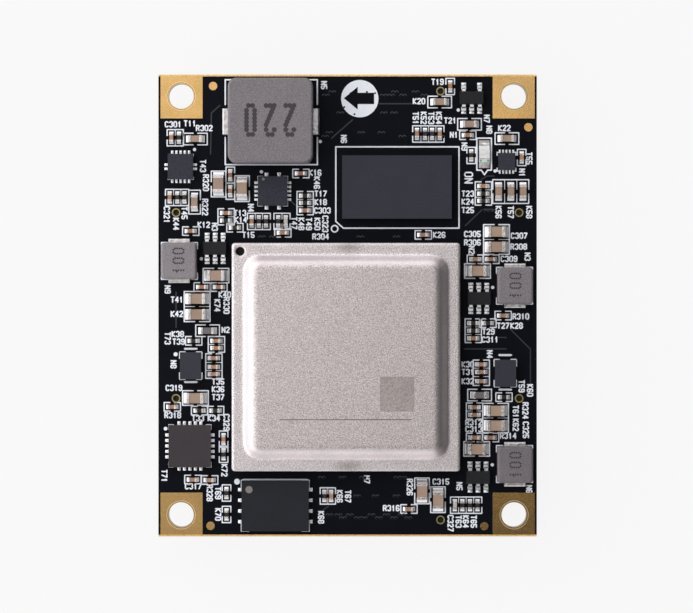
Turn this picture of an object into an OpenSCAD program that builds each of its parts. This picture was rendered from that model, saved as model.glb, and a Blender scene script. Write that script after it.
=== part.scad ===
// System on module: a 45 x 55 mm circuit board with a lidded processor, memory,
// flash, power regulators and four board-to-board connectors on its underside.
// The origin is below the centre of the board, on the plane of the connector mouths.
// All sizes are in millimetres, X runs to the east edge, Y to the north edge, Z up.

/* [Processor] */
// Side of the square processor package
processor_w = 27; // [27:1:35]
// Distance between neighbouring solder balls
ball_pitch = 1.0; // [0.8:0.1:1.2]
// Diameter of a solder ball after soldering
ball_d = 0.6; // [0.4:0.05:0.7]
// Height of a solder ball after soldering
ball_h = 0.45; // [0.3:0.05:0.6]
// Distance of the outer ball rows from the package edge
ball_edge = 1.0; // [0.8:0.1:1.5]
// Thickness of the laminate that carries the die
substrate_t = 1.0; // [0.8:0.1:1.6]
// Width of the silicon die
die_w = 12; // [8:0.5:16]
// Length of the silicon die
die_l = 10; // [8:0.5:16]
// Thickness of the silicon die
die_t = 0.75; // [0.6:0.05:0.85]
// Thickness of the thermal paste between die and lid
paste_t = 0.1; // [0.05:0.05:0.2]
// Thickness of the adhesive bead under the lid flange
adhesive_t = 0.1; // [0.05:0.05:0.2]
// Width of the adhesive bead
adhesive_w = 1.0; // [0.6:0.1:1.4]
// Distance of the lid edge from the substrate edge
lid_inset = 0; // [0:0.05:0.4]
// Corner radius of the lid flange
flange_r = 0.4; // [0.4:0.1:1.2]
// Width of the flat flange around the lid crown
flange_w = 1.4; // [1.2:0.1:2.2]
// Thickness of the stamped flange
flange_t = 0.7; // [0.5:0.05:1.0]
// Radius of the round upper edge of the flange
flange_edge_r = 0.15; // [0.05:0.05:0.3]
// Height of the lid crown above the flange
crown_rise = 1.05; // [1.0:0.05:1.4]
// Angle of the crown flank to the board
crown_angle = 45; // [40:1:52]
// Radius where the crown flank turns into the flat top
shoulder_r = 1.5; // [0.8:0.1:2.2]
// Corner radius of the flat top of the crown
crown_top_r = 0.4; // [0.1:0.1:1.2]
// Radius of the hollow where the flange turns up into the crown flank
crown_foot_r = 0.15; // [0.1:0.05:0.4]
// Distance from the crown foot to the pocket over the die
crown_wall = 1.6; // [1.4:0.1:2.6]
// Diameter of the hole that marks the first pin
pin_mark_d = 1.05; // [0.6:0.05:1.1]
// Distance of that hole from both lid edges
pin_mark_inset = 1.0; // [0.7:0.05:1.1]

/* [Board] */
// Side of the field that the parts along the edges leave clear for the processor
field_min = 27; // [27:1:35]
// Board width left of the processor field
strip_west = 8.8; // [8.8:0.1:14]
// Board width right of the processor field
strip_east = 9.2; // [9.2:0.1:14]
// Board length above the processor field
strip_north = 20.1; // [20.1:0.05:26]
// Board length below the processor field
strip_south = 7.9; // [7.85:0.05:12]
// Thickness of the board
board_t = 1.6; // [1.2:0.1:2.4]
// Width of the score bevel along the north and south edges
score_w = 0.25; // [0.1:0.05:0.3]
// Depth of the score bevel in each face
score_d = 0.5; // [0.3:0.05:0.55]
// Diameter of a finished mounting hole
hole_d = 3.0; // [2.2:0.1:3.4]
// Distance of a mounting hole from the west or east edge
hole_inset_x = 2.7; // [2.4:0.1:3]
// Distance of a mounting hole from the north or south edge
hole_inset_y = 2.6; // [2.4:0.1:3]
// Side of the square gold land around a mounting hole
land_w = 5.0; // [4.6:0.1:5]
// Distance of a land from the board edges
land_inset = 0.25; // [0.25:0.05:0.5]
// Thickness of the metal on the board faces and in the holes
plating_t = 0.05; // [0.03:0.01:0.05]
// Diameter of a camera alignment dot
fiducial_d = 1.0; // [0.5:0.1:1.2]

/* [Connectors] */
// Length of a connector housing beyond the contact rows at each end
housing_end = 2.2; // [1.9:0.1:4]
// Width of a connector housing
connector_w = 3.0; // [2.8:0.1:3.2]
// Height of a connector below the board
connector_h = 3.0; // [2.6:0.1:6]
// Distance of the side connectors from the west and east edges
connector_inset_x = 2.1; // [2.1:0.05:2.6]
// Distance of the end connectors from the north and south edges
connector_inset_y = 2.0; // [2.0:0.05:2.6]
// Thickness of the long housing walls
connector_wall = 0.45; // [0.35:0.05:0.5]
// Thickness of the housing at each end of the cavity
connector_end = 1.2; // [0.9:0.1:1.4]
// Depth of the mating cavity
cavity_h = 2.1; // [1.5:0.1:2.2]
// Width of the tongue in the cavity
tongue_w = 0.7; // [0.5:0.05:0.8]
// Length of the tongue beyond the contact rows at each end
tongue_end = 0.4; // [0.2:0.1:0.6]
// Distance of the tongue and contact tips from the mouth
tongue_recess = 0.3; // [0.2:0.05:0.6]
// Contacts in each of the two rows
contact_count = 40; // [20:1:40]
// Distance between neighbouring contacts
contact_pitch = 0.5; // [0.4:0.05:0.5]
// Width of a contact
contact_w = 0.2; // [0.15:0.01:0.25]
// Thickness of a contact
contact_t = 0.12; // [0.1:0.01:0.15]
// Length of a contact tail outside the housing
contact_tail = 0.2; // [0.1:0.05:0.2]
// Distance of a locating peg from the end of the contact rows
peg_offset = 1.05; // [0.8:0.05:1.2]
// Diameter of a locating peg
peg_d = 0.66; // [0.5:0.02:0.7]
// Length of a locating peg inside the board
peg_l = 0.8; // [0.6:0.1:1.2]
// Radial clearance between a peg and its plated hole
peg_clearance = 0.05; // [0.03:0.01:0.08]
// Width of the gold ring around a peg hole
peg_ring_w = 0.13; // [0.1:0.01:0.2]

/* [Memory and flash] */
// Length of the memory package
memory_l = 13.0; // [10:0.5:14]
// Width of the memory package
memory_w = 7.5; // [7.5:0.1:8]
// Thickness of the memory laminate
memory_substrate_t = 0.3; // [0.2:0.05:0.4]
// Thickness of the memory moulding
memory_mould_t = 0.55; // [0.4:0.05:0.7]
// Distance between neighbouring memory balls
memory_pitch = 0.8; // [0.6:0.05:0.8]
// Diameter of a memory ball
memory_ball_d = 0.42; // [0.3:0.02:0.5]
// Height of a memory ball after soldering
memory_ball_h = 0.3; // [0.2:0.05:0.4]
// Length of the flash package
flash_l = 8.0; // [6:0.1:8.2]
// Width of the flash package
flash_w = 6.0; // [5.5:0.1:6.2]
// Height of the flash package
flash_h = 0.8; // [0.6:0.05:1.0]
// Length of the thermal pad under the flash
flash_pad_l = 3.4; // [2.4:0.1:3.6]
// Width of the thermal pad under the flash
flash_pad_w = 4.3; // [3:0.1:4.4]

/* [Inductors] */
// Side of the main inductor core
main_core_w = 10.0; // [9:0.1:10.4]
// Height of the main inductor
main_core_h = 4.0; // [3:0.1:5]
// Corner radius of the main inductor core
main_core_r = 1.0; // [0.5:0.1:1.5]
// Width of a main inductor terminal
main_terminal_w = 3.05; // [2:0.05:4]
// Reach of a main inductor terminal beyond the core
main_terminal_reach = 0.75; // [0.6:0.05:0.9]
// Height of a main inductor terminal
main_terminal_h = 1.4; // [1:0.1:2]
// Length of a main inductor terminal under the core
main_terminal_foot = 2.0; // [1.5:0.1:2.5]
// Width of a small inductor core
small_core_w = 4.2; // [3.6:0.1:4.4]
// Length of a small inductor core
small_core_l = 4.3; // [3.6:0.1:4.4]
// Height of a small inductor
small_core_h = 2.0; // [1.5:0.1:3]
// Corner radius of a small inductor core
small_core_r = 0.4; // [0.3:0.05:0.8]
// Width of a small inductor terminal
small_terminal_w = 2.5; // [1.5:0.1:3]
// Reach of a small inductor terminal beyond the core
small_terminal_reach = 0.5; // [0.45:0.05:0.6]
// Height of a small inductor terminal
small_terminal_h = 0.9; // [0.7:0.05:1.2]
// Length of a small inductor terminal under the core
small_terminal_foot = 1.1; // [0.8:0.1:1.3]
// Thickness of the copper strip of an inductor terminal
terminal_t = 0.2; // [0.15:0.05:0.3]
// Rounding of an inductor core along its top edge
core_edge = 0.25; // [0.1:0.05:0.3]

/* [Regulators] */
// Side of the large regulator
large_regulator_w = 5.0; // [4:0.1:5.2]
// Side of the core voltage regulator
core_regulator_w = 3.5; // [3:0.1:3.6]
// Side of the small regulator
small_regulator_w = 3.0; // [2.6:0.1:3.2]
// Side of the load switch
load_switch_w = 2.0; // [1.8:0.1:2.2]
// Height of the flat leadless packages
leadless_h = 0.85; // [0.6:0.05:1.0]
// Height of the load switch
load_switch_h = 0.75; // [0.6:0.05:0.9]
// Length of a converter body
converter_l = 2.9; // [2.7:0.05:3.0]
// Width of a converter body
converter_w = 1.6; // [1.5:0.05:1.7]
// Height of a converter body
converter_h = 1.1; // [0.9:0.05:1.3]
// Distance between neighbouring converter leads
converter_pitch = 0.95; // [0.9:0.05:1.0]
// Width of a converter lead
converter_lead_w = 0.42; // [0.3:0.02:0.5]
// Reach of a converter lead beyond the body
converter_reach = 0.65; // [0.55:0.05:0.75]
// Draft of a moulded converter side
mould_draft = 0.12; // [0.05:0.01:0.18]
// Thickness of a leadframe
leadframe_t = 0.2; // [0.15:0.01:0.25]
// Length of a leadless contact under the body
leadless_contact_l = 0.4; // [0.3:0.05:0.45]
// Gap between the contacts and the thermal pad of a leadless package
thermal_gap = 0.4; // [0.2:0.05:0.45]
// Width of a leadless contact, as a share of its pitch
leadless_contact_share = 0.55; // [0.4:0.05:0.65]

/* [Oscillators and lamp] */
// Width of an oscillator
oscillator_w = 2.5; // [2:0.1:2.6]
// Length of an oscillator
oscillator_l = 3.2; // [2.5:0.1:3.4]
// Height of an oscillator
oscillator_h = 0.8; // [0.6:0.05:1.2]
// Side of an oscillator contact
oscillator_pad_w = 0.8; // [0.6:0.05:0.9]
// Length of an oscillator contact that shows beside the body
oscillator_toe = 0.15; // [0:0.05:0.2]
// Length of the lamp
lamp_l = 2.0; // [1.6:0.1:2.2]
// Width of the lamp
lamp_w = 1.25; // [0.8:0.05:1.3]
// Thickness of the lamp base
lamp_base_t = 0.3; // [0.2:0.05:0.4]
// Height of the lens above the lamp base
lamp_lens_h = 0.6; // [0.4:0.05:0.8]
// Length of the lens
lamp_lens_l = 1.2; // [0.8:0.05:1.2]
// Amount by which each end of the lens leans inwards
lamp_lens_taper = 0.1; // [0:0.05:0.2]
// Length of bare solder in front of a lamp end
lamp_toe = 0.35; // [0.1:0.05:0.4]

/* [Chip capacitors and resistors] */
// Length of a small chip
small_chip_l = 1.0; // [0.9:0.05:1.1]
// Width of a small chip
small_chip_w = 0.5; // [0.4:0.05:0.55]
// Height of a small capacitor
small_capacitor_h = 0.5; // [0.3:0.05:0.6]
// Height of a resistor
resistor_h = 0.35; // [0.3:0.05:0.5]
// Length of the metal band at each end of a small chip
small_band = 0.25; // [0.15:0.05:0.3]
// Length of a medium chip
medium_chip_l = 1.6; // [1.5:0.05:1.7]
// Width of a medium chip
medium_chip_w = 0.8; // [0.7:0.05:0.85]
// Height of a medium chip
medium_chip_h = 0.8; // [0.5:0.05:0.9]
// Length of the metal band at each end of a medium chip
medium_band = 0.3; // [0.25:0.05:0.45]
// Length of a large capacitor
large_chip_l = 2.0; // [1.9:0.05:2.15]
// Width of a large capacitor
large_chip_w = 1.25; // [1.1:0.05:1.3]
// Height of a large capacitor
large_chip_h = 1.25; // [0.8:0.05:1.4]
// Length of the metal band at each end of a large capacitor
large_band = 0.35; // [0.3:0.05:0.6]
// Thickness of the metal on the chip ends
band_t = 0.03; // [0.02:0.01:0.05]
// Distance between neighbouring underside capacitors along X
underside_step_x = 3.5; // [2:0.1:3.8]
// Distance between neighbouring underside capacitors along Y
underside_step_y = 4.0; // [2:0.1:4.2]

/* [Solder] */
// Thickness of the solder under a chip end or a lead
solder_t = 0.05; // [0.05:0.01:0.08]
// Radius of the solder fillet of a small chip
small_fillet = 0.18; // [0.1:0.02:0.22]
// Radius of the solder fillet of a medium chip
medium_fillet = 0.26; // [0.16:0.02:0.3]
// Radius of the solder fillet of a large capacitor
large_fillet = 0.36; // [0.2:0.02:0.4]
// Radius of the solder fillet at a leadless contact
leadless_fillet = 0.15; // [0.1:0.01:0.15]
// Length of bare solder in front of a leadless contact
leadless_toe = 0.28; // [0.1:0.02:0.32]
// Length of bare solder in front of a converter lead
converter_toe = 0.4; // [0.25:0.05:0.5]
// Width of the solder around the foot of a converter lead
converter_pad_w = 0.56; // [0.5:0.02:0.6]
// Radius of the solder fillet at the tip of a converter lead
converter_fillet = 0.2; // [0.1:0.02:0.2]

/* [Hidden] */
$fn = 32;

// Length by which a cutting solid passes the face that it cuts
over = 1;

// Facets of the round shoulder of the lid, of its hollow foot and of a small round edge
shoulder_steps = 8;
foot_steps = 3;
edge_steps = 4;

// Pitch above which a leadless contact gets no wider
widest_pitch = 0.75;

// Bends of a gull-wing lead, as shares of its reach: end of the shoulder, toe and heel of the leg
lead_shoulder = 0.15;
lead_toe = 0.4;
lead_heel = 0.65;

// Board outline and levels
field_w = max(field_min, processor_w);
board_w = strip_west + field_w + strip_east;
board_l = strip_south + field_w + strip_north;
board_bottom = connector_h;
board_top = board_bottom + board_t;
processor_x = (strip_west - strip_east) / 2;
processor_y = (strip_south - strip_north) / 2;

// Levels and outlines of the processor
substrate_bottom = board_top + ball_h;
substrate_top = substrate_bottom + substrate_t;
flange_bottom = substrate_top + adhesive_t;
flange_top = flange_bottom + flange_t;
lid_ceiling = substrate_top + die_t + paste_t;
lid_w = processor_w - 2 * lid_inset;
crown_w = lid_w - 2 * flange_w;
flat_inset = crown_rise / tan(crown_angle) + shoulder_r * tan(crown_angle / 2);
crown_r = flat_inset + crown_top_r;
pocket_w = crown_w - 2 * crown_wall;
ball_rows = floor((processor_w - 2 * ball_edge) / ball_pitch) + 1;

// Corners of the board: a place is measured in from the two edges that meet there
NW = [-1, 1];
NE = [1, 1];
SW = [-1, -1];
SE = [1, -1];

// Places of the single packages
processor_at = [processor_x, processor_y];
memory_at = [[NE, [[16.65, 13.45, 0]]]];
flash_at = [[SW, [[13.9, 3.7, 0]]]];
main_inductor_at = [[NW, [[13.4, 5.7, 0]]]];
small_inductors_at = [[NW, [[2.5, 22.2, 0]]], [NE, [[2.65, 25.15, 0]]], [SE, [[2.65, 8.65, 0]]]];
large_regulator_at = [[SW, [[3.75, 10.8, 0]]]];
core_regulator_at = [[NW, [[13.6, 13.9, 0]]]];
small_regulator_at = [[NW, [[2.65, 11.0, 0]]]];
load_switch_at = [[NE, [[3.6, 10.4, 0]]]];
converters_at = [[NW, [[6.75, 20.7, 0]]], [NE, [[6.9, 26.65, 0]]], [SE, [[7.0, 7.1, 0]]]];
supervisor_at = [[NE, [[7.75, 2.85, 0]]]];
oscillators_at = [[SW, [[3.85, 20.35, 0]]], [SE, [[3.75, 19.45, 0]]]];
lamp_at = [[NE, [[6.25, 9.5, 90]]]];
fiducials_at = [
    [NW, [[6.5, 1.4, 0]]],
    [NE, [[1.0, 6.3, 0]]],
    [SW, [[6.2, 1.3, 0]]],
    [SE, [[6.25, 1.25, 0]]]
];

// Places of the chips, with 0 along X and 90 along Y
small_capacitors_at = [
    [NW, [
        [1.55, 7.55, 90], [8.55, 12.0, 90], [8.55, 13.9, 90], [16.95, 11.8, 0], [17.45, 16.2, 0],
        [11.1, 17.5, 90], [15.15, 17.5, 90], [14.8, 18.85, 0], [1.35, 14.65, 90], [3.85, 18.65, 0],
        [8.05, 16.5, 0], [5.2, 25.3, 0], [7.2, 25.3, 0]
    ]],
    [SW, [
        [6.9, 23.3, 0], [6.9, 22.45, 0], [6.6, 21.25, 0], [6.6, 20.2, 0], [6.6, 19.35, 0],
        [1.65, 15.45, 0], [7.75, 11.6, 90], [4.1, 6.8, 0], [6.1, 6.75, 0], [20.55, 4.85, 90]
    ]],
    [NE, [
        [10.3, 1.45, 90], [14.25, 7.1, 90], [11.55, 7.1, 90], [8.2, 7.25, 0], [1.8, 9.9, 90],
        [6.35, 13.3, 0], [13.5, 19.1, 0], [7.3, 22.0, 0], [5.45, 22.0, 0]
    ]],
    [SE, [
        [4.0, 26.3, 0], [7.55, 23.6, 0], [6.6, 20.5, 0], [6.6, 19.6, 0], [6.6, 18.5, 0],
        [7.4, 15.4, 0], [7.4, 14.5, 0], [7.4, 11.8, 0], [5.5, 11.8, 0], [15.2, 3.3, 0], [9.75, 3.75, 90]
    ]]
];
resistors_at = [
    [NW, [
        [2.45, 7.55, 90], [17.45, 14.45, 0], [17.45, 15.3, 0], [11.95, 17.5, 90], [12.8, 17.5, 90],
        [14.25, 17.5, 90], [2.25, 14.65, 90], [3.1, 14.65, 90], [8.05, 17.4, 0], [9.1, 18.25, 0]
    ]],
    [SW, [
        [4.2, 23.3, 0], [4.9, 15.0, 0], [6.8, 15.0, 0], [7.75, 9.8, 90], [8.1, 5.2, 90],
        [8.1, 2.65, 90], [19.75, 4.85, 90]
    ]],
    [NE, [[13.3, 7.1, 90], [12.45, 7.1, 90], [7.8, 9.65, 90], [6.35, 14.2, 0], [6.35, 15.05, 0]]],
    [SE, [
        [7.55, 25.4, 0], [5.8, 25.4, 0], [7.55, 24.5, 0], [3.9, 16.6, 0], [8.85, 3.75, 90],
        [7.95, 3.75, 90], [7.05, 3.75, 90]
    ]]
];
medium_capacitors_at = [
    [NW, [[4.4, 7.7, 0], [4.3, 15.2, 90]]],
    [NE, [
        [11.55, 3.3, 0], [8.0, 5.95, 0], [3.55, 7.65, 0], [4.55, 13.95, 90], [3.1, 13.95, 90],
        [1.65, 13.95, 90]
    ]]
];
beads_at = [[SW, [[5.85, 24.5, 0]]], [SE, [[6.8, 16.85, 0]]]];
large_capacitors_at = [
    [NW, [[7.15, 13.05, 90], [9.95, 13.6, 90], [6.85, 23.95, 0], [4.6, 26.7, 0]]],
    [SW, [[4.6, 26.45, 0], [4.4, 16.5, 0]]],
    [NE, [[4.8, 18.75, 0], [4.8, 20.55, 0], [7.05, 23.4, 0]]],
    [SE, [[4.9, 15.0, 0], [4.9, 13.25, 0], [7.15, 10.45, 0], [13.65, 5.45, 90], [11.75, 4.4, 90]]]
];

// Columns and rows of the capacitors under the processor
underside_columns = 5;
underside_rows = 4;

// Contacts of the leadless packages along Y sides and X sides, and their pitch
large_regulator_sides = [5, 5, 0.65, 0.65];
core_regulator_sides = [5, 2, 0.5, 1.5];
small_regulator_sides = [2, 5, 0.5, 0.5];
load_switch_sides = [0, 5, 0.4, 0.4];
flash_sides = [4, 0, 1.27, 1.27];

// Connector levels and places, with the turn of the housing about Z
housing_top = connector_h - contact_t;
housing_slot_l = contact_count * contact_pitch;
connector_l = housing_slot_l + 2 * housing_end;
tongue_l = housing_slot_l + 2 * tongue_end;
peg_span = housing_slot_l + 2 * peg_offset;
side_x = board_w / 2 - connector_inset_x;
side_y = board_l / 2 - connector_inset_y;
north_at = [0, side_y, 0];
south_at = [0, -side_y, 180];
west_at = [-side_x, 0, 90];
east_at = [side_x, 0, -90];
connectors_at = [north_at, south_at, west_at, east_at];
peg_hole_r = peg_d / 2 + peg_clearance;

// Colours of the finishes
mask_black = [0.07, 0.08, 0.10];
gold = [0.83, 0.68, 0.42];
tin = [0.80, 0.80, 0.82];
nickel = [0.77, 0.73, 0.72];
laminate_green = [0.10, 0.17, 0.13];
silicon = [0.30, 0.31, 0.35];
paste_grey = [0.62, 0.62, 0.60];
glue_black = [0.12, 0.12, 0.12];
mould_black = [0.17, 0.17, 0.19];
memory_violet = [0.21, 0.20, 0.24];
core_grey = [0.51, 0.48, 0.49];
ceramic_tan = [0.62, 0.48, 0.40];
ceramic_brown = [0.58, 0.42, 0.33];
resistor_black = [0.10, 0.10, 0.11];
ferrite_grey = [0.36, 0.36, 0.38];
lamp_white = [0.90, 0.92, 0.88];
lens_clear = [0.85, 0.90, 0.82];
housing_black = [0.11, 0.11, 0.12];

// Puts a copy of the children at each place of a list that is grouped by board corner
module place(groups) {
    for (group = groups)
        for (spot = group[1])
            translate([
                group[0].x * (board_w / 2 - spot.x),
                group[0].y * (board_l / 2 - spot.y),
                board_top
            ])
                rotate(spot.z) children();
}

// Puts a copy of the children at each capacitor place on the underside
module place_underside() {
    for (column = [0 : underside_columns - 1], row = [0 : underside_rows - 1])
        translate([
            processor_x + (column - (underside_columns - 1) / 2) * underside_step_x,
            processor_y + (row - (underside_rows - 1) / 2) * underside_step_y,
            board_bottom
        ])
            mirror([0, 0, 1]) children();
}

// Puts a copy of the children at the four mounting holes
module place_holes() {
    for (side = [NW, NE, SW, SE])
        translate([
            side.x * (board_w / 2 - hole_inset_x),
            side.y * (board_l / 2 - hole_inset_y),
            board_bottom
        ])
            children();
}

// Puts a copy of the children at the two peg places of every connector
module place_pegs() {
    for (spot = connectors_at)
        translate([spot.x, spot.y, board_bottom]) rotate(spot.z)
            for (side = [-1, 1])
                translate([side * peg_span / 2, 0, 0]) children();
}

// Block on a rounded rectangle whose flank follows a list of [inset, height] points
module swept_block(width, length, radius, flank) {
    first = flank[0];
    last = flank[len(flank) - 1];
    corner = concat([[0, first.y]], [for (p = flank) [radius - p.x, p.y]], [[0, last.y]]);
    for (i = [0 : 3])
        translate([
            (i == 0 || i == 3 ? 1 : -1) * (width / 2 - radius),
            (i < 2 ? 1 : -1) * (length / 2 - radius),
            0
        ])
            rotate(90 * i) rotate_extrude(angle = 90) polygon(corner);
    swept_bar(width - 2 * radius, length, flank);
    rotate(90) swept_bar(length - 2 * radius, width, flank);
}

// Straight bar along X whose two long sides follow the flank points
module swept_bar(bar_l, span, flank) {
    right = [for (p = flank) [span / 2 - p.x, p.y]];
    left = [for (i = [len(flank) - 1 : -1 : 0]) [flank[i].x - span / 2, flank[i].y]];
    rotate([90, 0, 90]) linear_extrude(bar_l, center = true) polygon(concat(right, left));
}

// Points of a round edge that turns from a flank of the given angle into a flat top
function shoulder(start_inset, top, radius, angle, steps) = [
    for (i = [0 : steps])
        let (turn = angle * (1 - i / steps))
            [start_inset - radius * sin(turn), top - radius * (1 - cos(turn))]
];

// Points of a hollow that turns from a flat floor into a flank of the given angle
function hollow_foot(radius, angle, steps) = [
    for (i = [0 : steps])
        let (turn = angle * i / steps)
            [radius * (sin(turn) - tan(angle / 2)), radius * (1 - cos(turn))]
];

// Block with the same draft on all four sides
module drafted_block(width, length, height, draft) {
    intersection() {
        rotate([90, 0, 0])
            linear_extrude(length + over, center = true) drafted_section(width, height, draft);
        rotate([90, 0, 90])
            linear_extrude(width + over, center = true) drafted_section(length, height, draft);
    }
}

// Six-sided section of a moulded body that is widest at half its height
module drafted_section(width, height, draft) {
    polygon([
        [-width / 2 + draft, 0], [width / 2 - draft, 0], [width / 2, height / 2],
        [width / 2 - draft, height], [-width / 2 + draft, height], [-width / 2, height / 2]
    ]);
}

// Flat profile drawn in depth and height, made into a strip that points along +Y
module strip(width) {
    rotate([90, 0, 90]) linear_extrude(width, center = true) children();
}

// Concave solder fillet against a wall at zero depth
module fillet_profile(radius, thickness) {
    difference() {
        square(radius + thickness);
        translate([radius + thickness, radius + thickness]) circle(radius);
    }
}

// Inner block of a chip between and inside its metal ends, standing on its solder
module chip_core(length, width, height) {
    translate([0, 0, solder_t + height / 2])
        cube([length - 2 * band_t, width - 2 * band_t, height - 2 * band_t], center = true);
}

// Metal caps on the two ends of a chip
module chip_ends(length, width, height, band) {
    for (side = [-1, 1])
        difference() {
            translate([side * (length - band) / 2, 0, solder_t + height / 2])
                cube([band, width, height], center = true);
            chip_core(length, width, height);
        }
}

// Solder under and in front of the two ends of a chip
module chip_solder(length, width, band, fillet) {
    for (turn = [-90, 90])
        rotate(turn) translate([0, length / 2, 0])
            strip(width) {
                translate([-band, 0]) square([band, solder_t]);
                fillet_profile(fillet, solder_t);
            }
}

// Row of leadless contacts on one side of a package
module contact_row(count, pitch, half_width) {
    for (i = [0 : 1 : count - 1])
        translate([(i - (count - 1) / 2) * pitch, half_width, 0])
            strip(min(pitch, widest_pitch) * leadless_contact_share) children();
}

// Flat contact under the edge of a leadless package
module leadless_profile() {
    translate([-leadless_contact_l, 0]) square([leadless_contact_l, leadframe_t]);
}

// Contact with the solder in front of it
module soldered_profile() {
    leadless_profile();
    square([leadless_fillet + leadless_toe, solder_t]);
    fillet_profile(leadless_fillet, solder_t);
}

// Contacts on all sides of a leadless package: counts and pitches of the X and Y rows
module contact_rows(width, length, sides) {
    for (turn = [0, 180]) {
        rotate(turn) contact_row(sides[1], sides[3], length / 2) children();
        rotate(turn + 90) contact_row(sides[0], sides[2], width / 2) children();
    }
}

// Moulded leadless body with notches for its contacts
module leadless_body(width, length, height, sides) {
    difference() {
        translate([-width / 2, -length / 2, solder_t]) cube([width, length, height - solder_t]);
        contact_rows(width, length, sides) leadless_profile();
    }
}

// Contacts of a square leadless package with the thermal pad in the middle
module leadless_leads(width, sides) {
    pad_w = width - 2 * (leadless_contact_l + thermal_gap);
    contact_rows(width, width, sides) soldered_profile();
    thermal_pad(pad_w, pad_w);
}

// Flat pad that carries heat from the package to the board
module thermal_pad(width, length) {
    translate([-width / 2, -length / 2, 0]) cube([width, length, solder_t]);
}

// Gull-wing lead with its solder: shoulder in the body side, sloping leg and foot
module gull_lead() {
    foot_bottom = solder_t;
    foot_top = solder_t + leadframe_t;
    shoulder_top = solder_t + converter_h / 2 + leadframe_t / 2;
    shoulder_bottom = shoulder_top - leadframe_t;
    bend = converter_reach * lead_shoulder;
    toe = converter_reach * lead_toe;
    heel = converter_reach * lead_heel;
    strip(converter_lead_w) {
        polygon([
            [0, shoulder_bottom], [bend, shoulder_bottom], [toe, foot_bottom],
            [converter_reach, foot_bottom], [converter_reach, foot_top],
            [heel, foot_top], [toe, shoulder_top], [0, shoulder_top]
        ]);
    }
    strip(converter_pad_w) {
        translate([toe, 0]) square([converter_reach - toe + converter_toe, solder_t]);
        translate([converter_reach, 0]) fillet_profile(converter_fillet, solder_t);
    }
}

// Leads of a small converter: the places along X of the north row and of the south row
module gull_leads(north_row, south_row) {
    for (x = north_row)
        translate([x * converter_pitch, converter_w / 2, 0]) gull_lead();
    for (x = south_row)
        translate([x * converter_pitch, -converter_w / 2, 0]) rotate(180) gull_lead();
}

// Moulded body of a small converter
module converter_body() {
    translate([0, 0, solder_t]) drafted_block(converter_l, converter_w, converter_h, mould_draft);
}

// Pressed core of an inductor on its folded terminals
module inductor_core(width, length, height, radius) {
    flank = concat([[0, terminal_t]], shoulder(core_edge, height, core_edge, 90, edge_steps));
    swept_block(width, length, radius, flank);
}

// Copper strip that leaves the core, folds down with a round bend and returns as a foot
module inductor_terminal(width, reach, height, foot) {
    strip(width)
        difference() {
            union() {
                translate([-foot, 0]) square([foot + reach - terminal_t, height]);
                translate([reach - 2 * terminal_t, terminal_t])
                    square([2 * terminal_t, height - 2 * terminal_t]);
                for (z = [terminal_t, height - terminal_t])
                    translate([reach - terminal_t, z]) circle(terminal_t);
            }
            translate([-foot - over, terminal_t])
                square([foot + over + reach - terminal_t, height - 2 * terminal_t]);
            translate([-foot - over, terminal_t]) square([foot + over, height]);
        }
}

// Board blank with scored north and south edges
module board_blank() {
    half = board_l / 2;
    rotate([90, 0, 90]) linear_extrude(board_w, center = true)
        polygon([
            [-half + score_w, board_bottom], [half - score_w, board_bottom], [half, board_bottom + score_d],
            [half, board_top - score_d], [half - score_w, board_top], [-half + score_w, board_top],
            [-half, board_top - score_d], [-half, board_bottom + score_d]
        ]);
}

// Long box around a connector axis from one height to another
module connector_box(length, width, low, high) {
    translate([-length / 2, -width / 2, low]) cube([length, width, high - low]);
}

// Connector housing with the mouth down: walls, tongue, contact slots, feet and pegs
module connector_housing() {
    cavity_l = connector_l - 2 * connector_end;
    cavity_w = connector_w - 2 * connector_wall;
    foot_l = (connector_l - housing_slot_l) / 2 - contact_pitch / 2;
    difference() {
        union() {
            difference() {
                connector_box(connector_l, connector_w, 0, housing_top);
                connector_box(cavity_l, cavity_w, -over, cavity_h);
            }
            connector_box(tongue_l, tongue_w, tongue_recess, housing_top);
        }
        for (side = [-1, 1])
            translate([0, side * (tongue_w + contact_t) / 2, 0])
                connector_box(housing_slot_l, contact_t, cavity_h - over, housing_top + over);
    }
    for (side = [-1, 1]) {
        translate([side * (connector_l - foot_l) / 2, 0, 0])
            connector_box(foot_l, connector_w, housing_top, connector_h);
        translate([side * peg_span / 2, 0, connector_h]) cylinder(h = peg_l, d = peg_d);
    }
}

// Two rows of contacts: tail on the board, bend into the slot, blade along the tongue
module connector_contacts() {
    inner = tongue_w / 2;
    tail_end = connector_w / 2 + contact_tail;
    for (turn = [0, 180], i = [0 : contact_count - 1])
        rotate(turn) translate([(i - (contact_count - 1) / 2) * contact_pitch, 0, 0])
            strip(contact_w) {
                translate([inner, housing_top]) square([tail_end - inner, contact_t]);
                translate([inner, tongue_recess]) square([contact_t, housing_top - tongue_recess]);
            }
}

// Puts the children at one connector place
module at_side(spot) {
    translate([spot.x, spot.y, 0]) rotate(spot.z) children();
}

// Bare board with mounting holes and peg holes
module circuit_board() {
    color(mask_black)
        difference() {
            board_blank();
            place_holes()
                translate([0, 0, -over]) cylinder(h = board_t + 2 * over, d = hole_d + 2 * plating_t);
            place_pegs()
                translate([0, 0, -over]) cylinder(h = board_t + 2 * over, r = peg_hole_r + plating_t);
        }
}

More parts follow.
